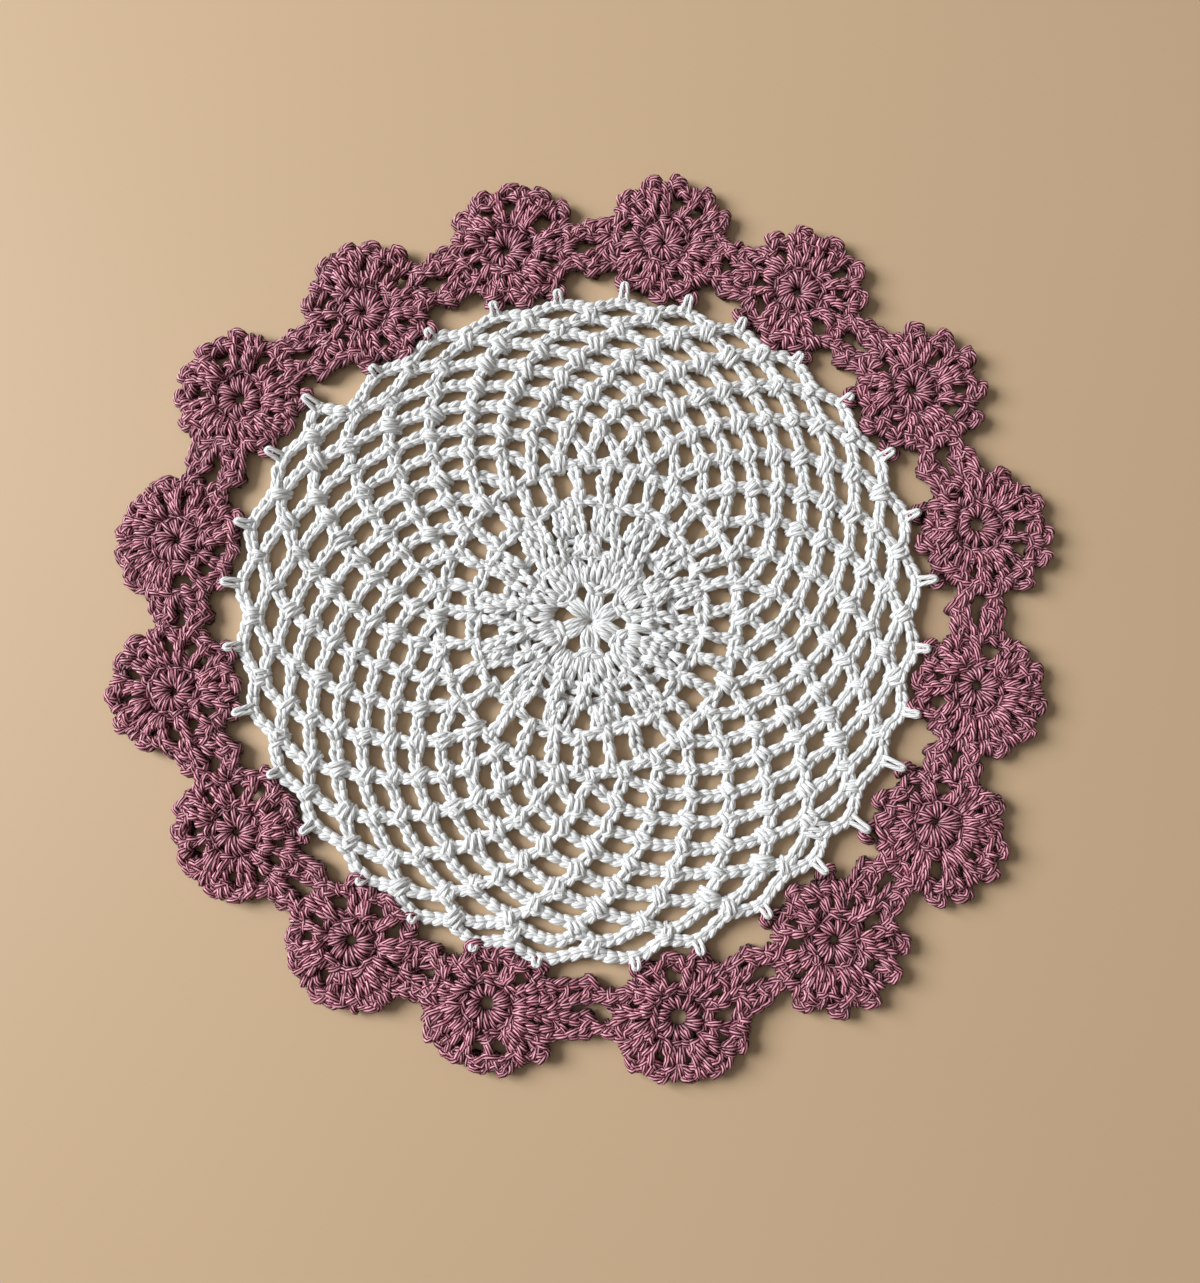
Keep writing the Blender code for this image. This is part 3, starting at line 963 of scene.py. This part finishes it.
class YarnSettings(bpy.types.PropertyGroup):
    thickness: FloatProperty(
        name="White Thickness", description="Thickness of the white yarn",
        default=1.8 * MM, min=0.5 * MM, max=4 * MM, subtype="DISTANCE", unit="LENGTH")
    mauve_thickness: FloatProperty(
        name="Mauve Thickness", description="Thickness of the mauve yarn",
        default=2.15 * MM, min=0.5 * MM, max=4 * MM, subtype="DISTANCE", unit="LENGTH")
    sides: IntProperty(
        name="Sides", description="Sides of the tube that stands for a strand",
        default=6, min=4, max=12)
    edge_sides: IntProperty(
        name="Net and Edge Sides", description="Sides of a strand of the net and of the motifs",
        default=5, min=4, max=12)
    seed: IntProperty(
        name="Seed", description="Picks the unevenness of the handwork", default=7, min=0)
    white: FloatVectorProperty(
        name="White", description="Colour of the white yarn", subtype="COLOR",
        default=(0.85, 0.86, 0.87), min=0, max=1, size=3)
    mauve: FloatVectorProperty(
        name="Mauve", description="Colour of the mauve yarn", subtype="COLOR",
        default=(0.22, 0.045, 0.07), min=0, max=1, size=3)


class StageSettings(bpy.types.PropertyGroup):
    tilt: FloatProperty(
        name="Tilt", description="How far the view leans from straight down towards +Y",
        default=radians(6.0), subtype="ANGLE", unit="ROTATION")
    lean: FloatProperty(
        name="Lean", description="How far the view leans towards +X",
        default=radians(0.7), subtype="ANGLE", unit="ROTATION")
    distance: FloatProperty(
        name="Distance", description="From the camera to the table along the view",
        default=344 * MM, subtype="DISTANCE", unit="LENGTH")
    aim: FloatVectorProperty(
        name="Aim", description="Where the view meets the table", size=2,
        default=(4.27 * MM, -8.47 * MM), subtype="XYZ", unit="LENGTH")
    lens: FloatProperty(
        name="Lens", description="Focal length for a sensor 36 mm on its long side",
        default=32.41, unit="CAMERA")
    floor: FloatVectorProperty(
        name="Floor", description="Colour of the table top", subtype="COLOR",
        default=(0.64, 0.452, 0.28), min=0, max=1, size=3)


# ---- operators

def put_in_scene(name, data):
    """A new object with a name and a mesh, light or camera."""
    piece = bpy.data.objects.new(name, data)
    bpy.context.scene.collection.objects.link(piece)
    return piece


def finish_piece(name, yarn, slot, node):
    """Puts a worked piece in the scene, where it stands for its CAD node."""
    piece = put_in_scene(name, yarn.mesh(name))
    make = {"white_cotton": white_yarn, "mauve_cotton": mauve_yarn}[slot]
    piece.data.materials.append(made_once(bpy.data.materials, f"{slot}_yarn", make))
    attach(piece, "root")
    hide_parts(node)


class DOILY_OT_flower(bpy.types.Operator):
    """Works the white flower in the middle"""
    bl_idname = "doily.flower"
    bl_label = "Work Flower"

    def execute(self, context):
        settings = context.scene.doily_yarn
        yarn = Yarn(settings.thickness / MM, settings.sides, settings.seed * SEEDS)
        work_flower(yarn)
        finish_piece("flower", yarn, "white_cotton", "centre")
        return {"FINISHED"}


class DOILY_OT_net(bpy.types.Operator):
    """Works the white net round the flower, with its points"""
    bl_idname = "doily.net"
    bl_label = "Work Net"

    def execute(self, context):
        settings = context.scene.doily_yarn
        for number, (name, first, last) in enumerate(NET_PIECES):
            seed = settings.seed * SEEDS + NET_SEED + number
            yarn = Yarn(settings.thickness / MM, settings.edge_sides, seed)
            work_net(yarn, first, last)
            finish_piece(name, yarn, "white_cotton", "centre")
        return {"FINISHED"}


class DOILY_OT_motifs(bpy.types.Operator):
    """Works the sixteen mauve motifs round the edge"""
    bl_idname = "doily.motifs"
    bl_label = "Work Motifs"

    def execute(self, context):
        settings = context.scene.doily_yarn
        names = [f"edge_motif_{index + 1:02d}" for index in range(len(MOTIFS))]
        for index, name in enumerate(names):
            seed = settings.seed * SEEDS + MOTIF_SEED + index
            yarn = Yarn(settings.mauve_thickness / MM, settings.edge_sides, seed)
            work_motif(yarn, index)
            finish_piece(name, yarn, "mauve_cotton", f"motif_{index + 1:02d}")
        return {"FINISHED"}


def floor_material(colour):
    material, tree, shader = new_material("pale_table_top")
    place = tree.nodes.new("ShaderNodeTexCoord")
    noise = tree.nodes.new("ShaderNodeTexNoise")
    noise.inputs["Scale"].default_value = 6.0
    tree.links.new(place.outputs["Object"], noise.inputs["Vector"])
    low = tuple(part * 0.985 for part in colour)
    grain = ramp(tree, noise.outputs[0], ((0.3, low), (0.7, tuple(colour))))
    tree.links.new(grain, shader.inputs["Base Color"])
    shader.inputs["Roughness"].default_value = 0.6
    return material


def room_light(tree):
    """A dim fill from all round, and a pale backdrop that only the camera sees."""
    link, light = tree.links.new, tree.nodes["Background"]
    light.inputs[0].default_value = (*FILL, 1)
    pale = tree.nodes.new("ShaderNodeBackground")
    pale.inputs[0].default_value = (*BACKDROP, 1)
    path = tree.nodes.new("ShaderNodeLightPath")
    mix = tree.nodes.new("ShaderNodeMixShader")
    link(path.outputs["Is Camera Ray"], mix.inputs[0])
    link(light.outputs[0], mix.inputs[1])
    link(pale.outputs[0], mix.inputs[2])
    link(mix.outputs[0], tree.nodes["World Output"].inputs[0])


def area_light(row):
    """A square lamp that is aimed at the middle of the table."""
    data = bpy.data.lights.new(row.name, "AREA")
    data.shape, data.size = "SQUARE", row.size
    data.energy, data.color = row.power, row.colour
    lamp = put_in_scene(row.name, data)
    lamp.location = row.place
    lamp.rotation_mode = "QUATERNION"
    lamp.rotation_quaternion = (-Vector(row.place)).to_track_quat("-Z", "Y")


def set_camera(stage):
    """The camera, whose view leans a little from straight down."""
    tilt, lean, east = stage.tilt, stage.lean, Vector((1, 0, 0))
    up = Vector((0, cos(tilt), sin(tilt)))
    ahead = Vector((0, sin(tilt), -cos(tilt)))
    right = east * cos(lean) - ahead * sin(lean)
    ahead = ahead * cos(lean) + east * sin(lean)
    data = bpy.data.cameras.new("camera")
    data.sensor_width, data.sensor_fit = 36, "AUTO"
    data.lens, data.clip_start = stage.lens, 0.01
    camera = put_in_scene("camera", data)
    place = Vector((*stage.aim, 0)) - ahead * stage.distance
    turn = Matrix((right, up, -ahead)).transposed().to_4x4()
    camera.matrix_world = Matrix.Translation(place) @ turn
    bpy.context.scene.camera = camera


class DOILY_OT_stage(bpy.types.Operator):
    """Sets the table top, the soft lights and the camera"""
    bl_idname = "doily.stage"
    bl_label = "Set Stage"

    def execute(self, context):
        stage, half = context.scene.doily_stage, FLOOR_HALF
        mesh = bpy.data.meshes.new(TABLE)
        mesh.from_pydata([(-half, -half, 0), (half, -half, 0), (half, half, 0), (-half, half, 0)], [],
                         [(0, 1, 2, 3)])
        floor = put_in_scene(TABLE, mesh)
        mesh.materials.append(floor_material(stage.floor))
        context.scene.view_settings.view_transform = "Standard"
        world = bpy.data.worlds.new("soft_room")
        context.scene.world = world
        world.use_nodes = True
        room_light(world.node_tree)
        for row in LIGHTS:
            area_light(row)
        set_camera(stage)
        return {"FINISHED"}


class DOILY_PT_panel(bpy.types.Panel):
    bl_label = "Crocheted Doily"
    bl_idname = "DOILY_PT_panel"
    bl_space_type = "VIEW_3D"
    bl_region_type = "UI"
    bl_category = "Doily"

    def draw(self, context):
        layout = self.layout
        for settings in (context.scene.doily_yarn, context.scene.doily_stage):
            column = layout.column()
            for name in settings.__annotations__:
                column.prop(settings, name)
        for operator in OPERATORS:
            layout.operator(operator.bl_idname)


OPERATORS = (DOILY_OT_stage, DOILY_OT_flower, DOILY_OT_net, DOILY_OT_motifs)
CLASSES = (YarnSettings, StageSettings, *OPERATORS, DOILY_PT_panel)


def register():
    for item in CLASSES:
        bpy.utils.register_class(item)
    bpy.types.Scene.doily_yarn = PointerProperty(type=YarnSettings)
    bpy.types.Scene.doily_stage = PointerProperty(type=StageSettings)


def unregister():
    del bpy.types.Scene.doily_stage
    del bpy.types.Scene.doily_yarn
    for item in reversed(CLASSES):
        bpy.utils.unregister_class(item)


def main():
    register()
    bpy.ops.doily.stage()
    bpy.ops.doily.flower()
    bpy.ops.doily.net()
    bpy.ops.doily.motifs()


if __name__ == "__main__":
    main()
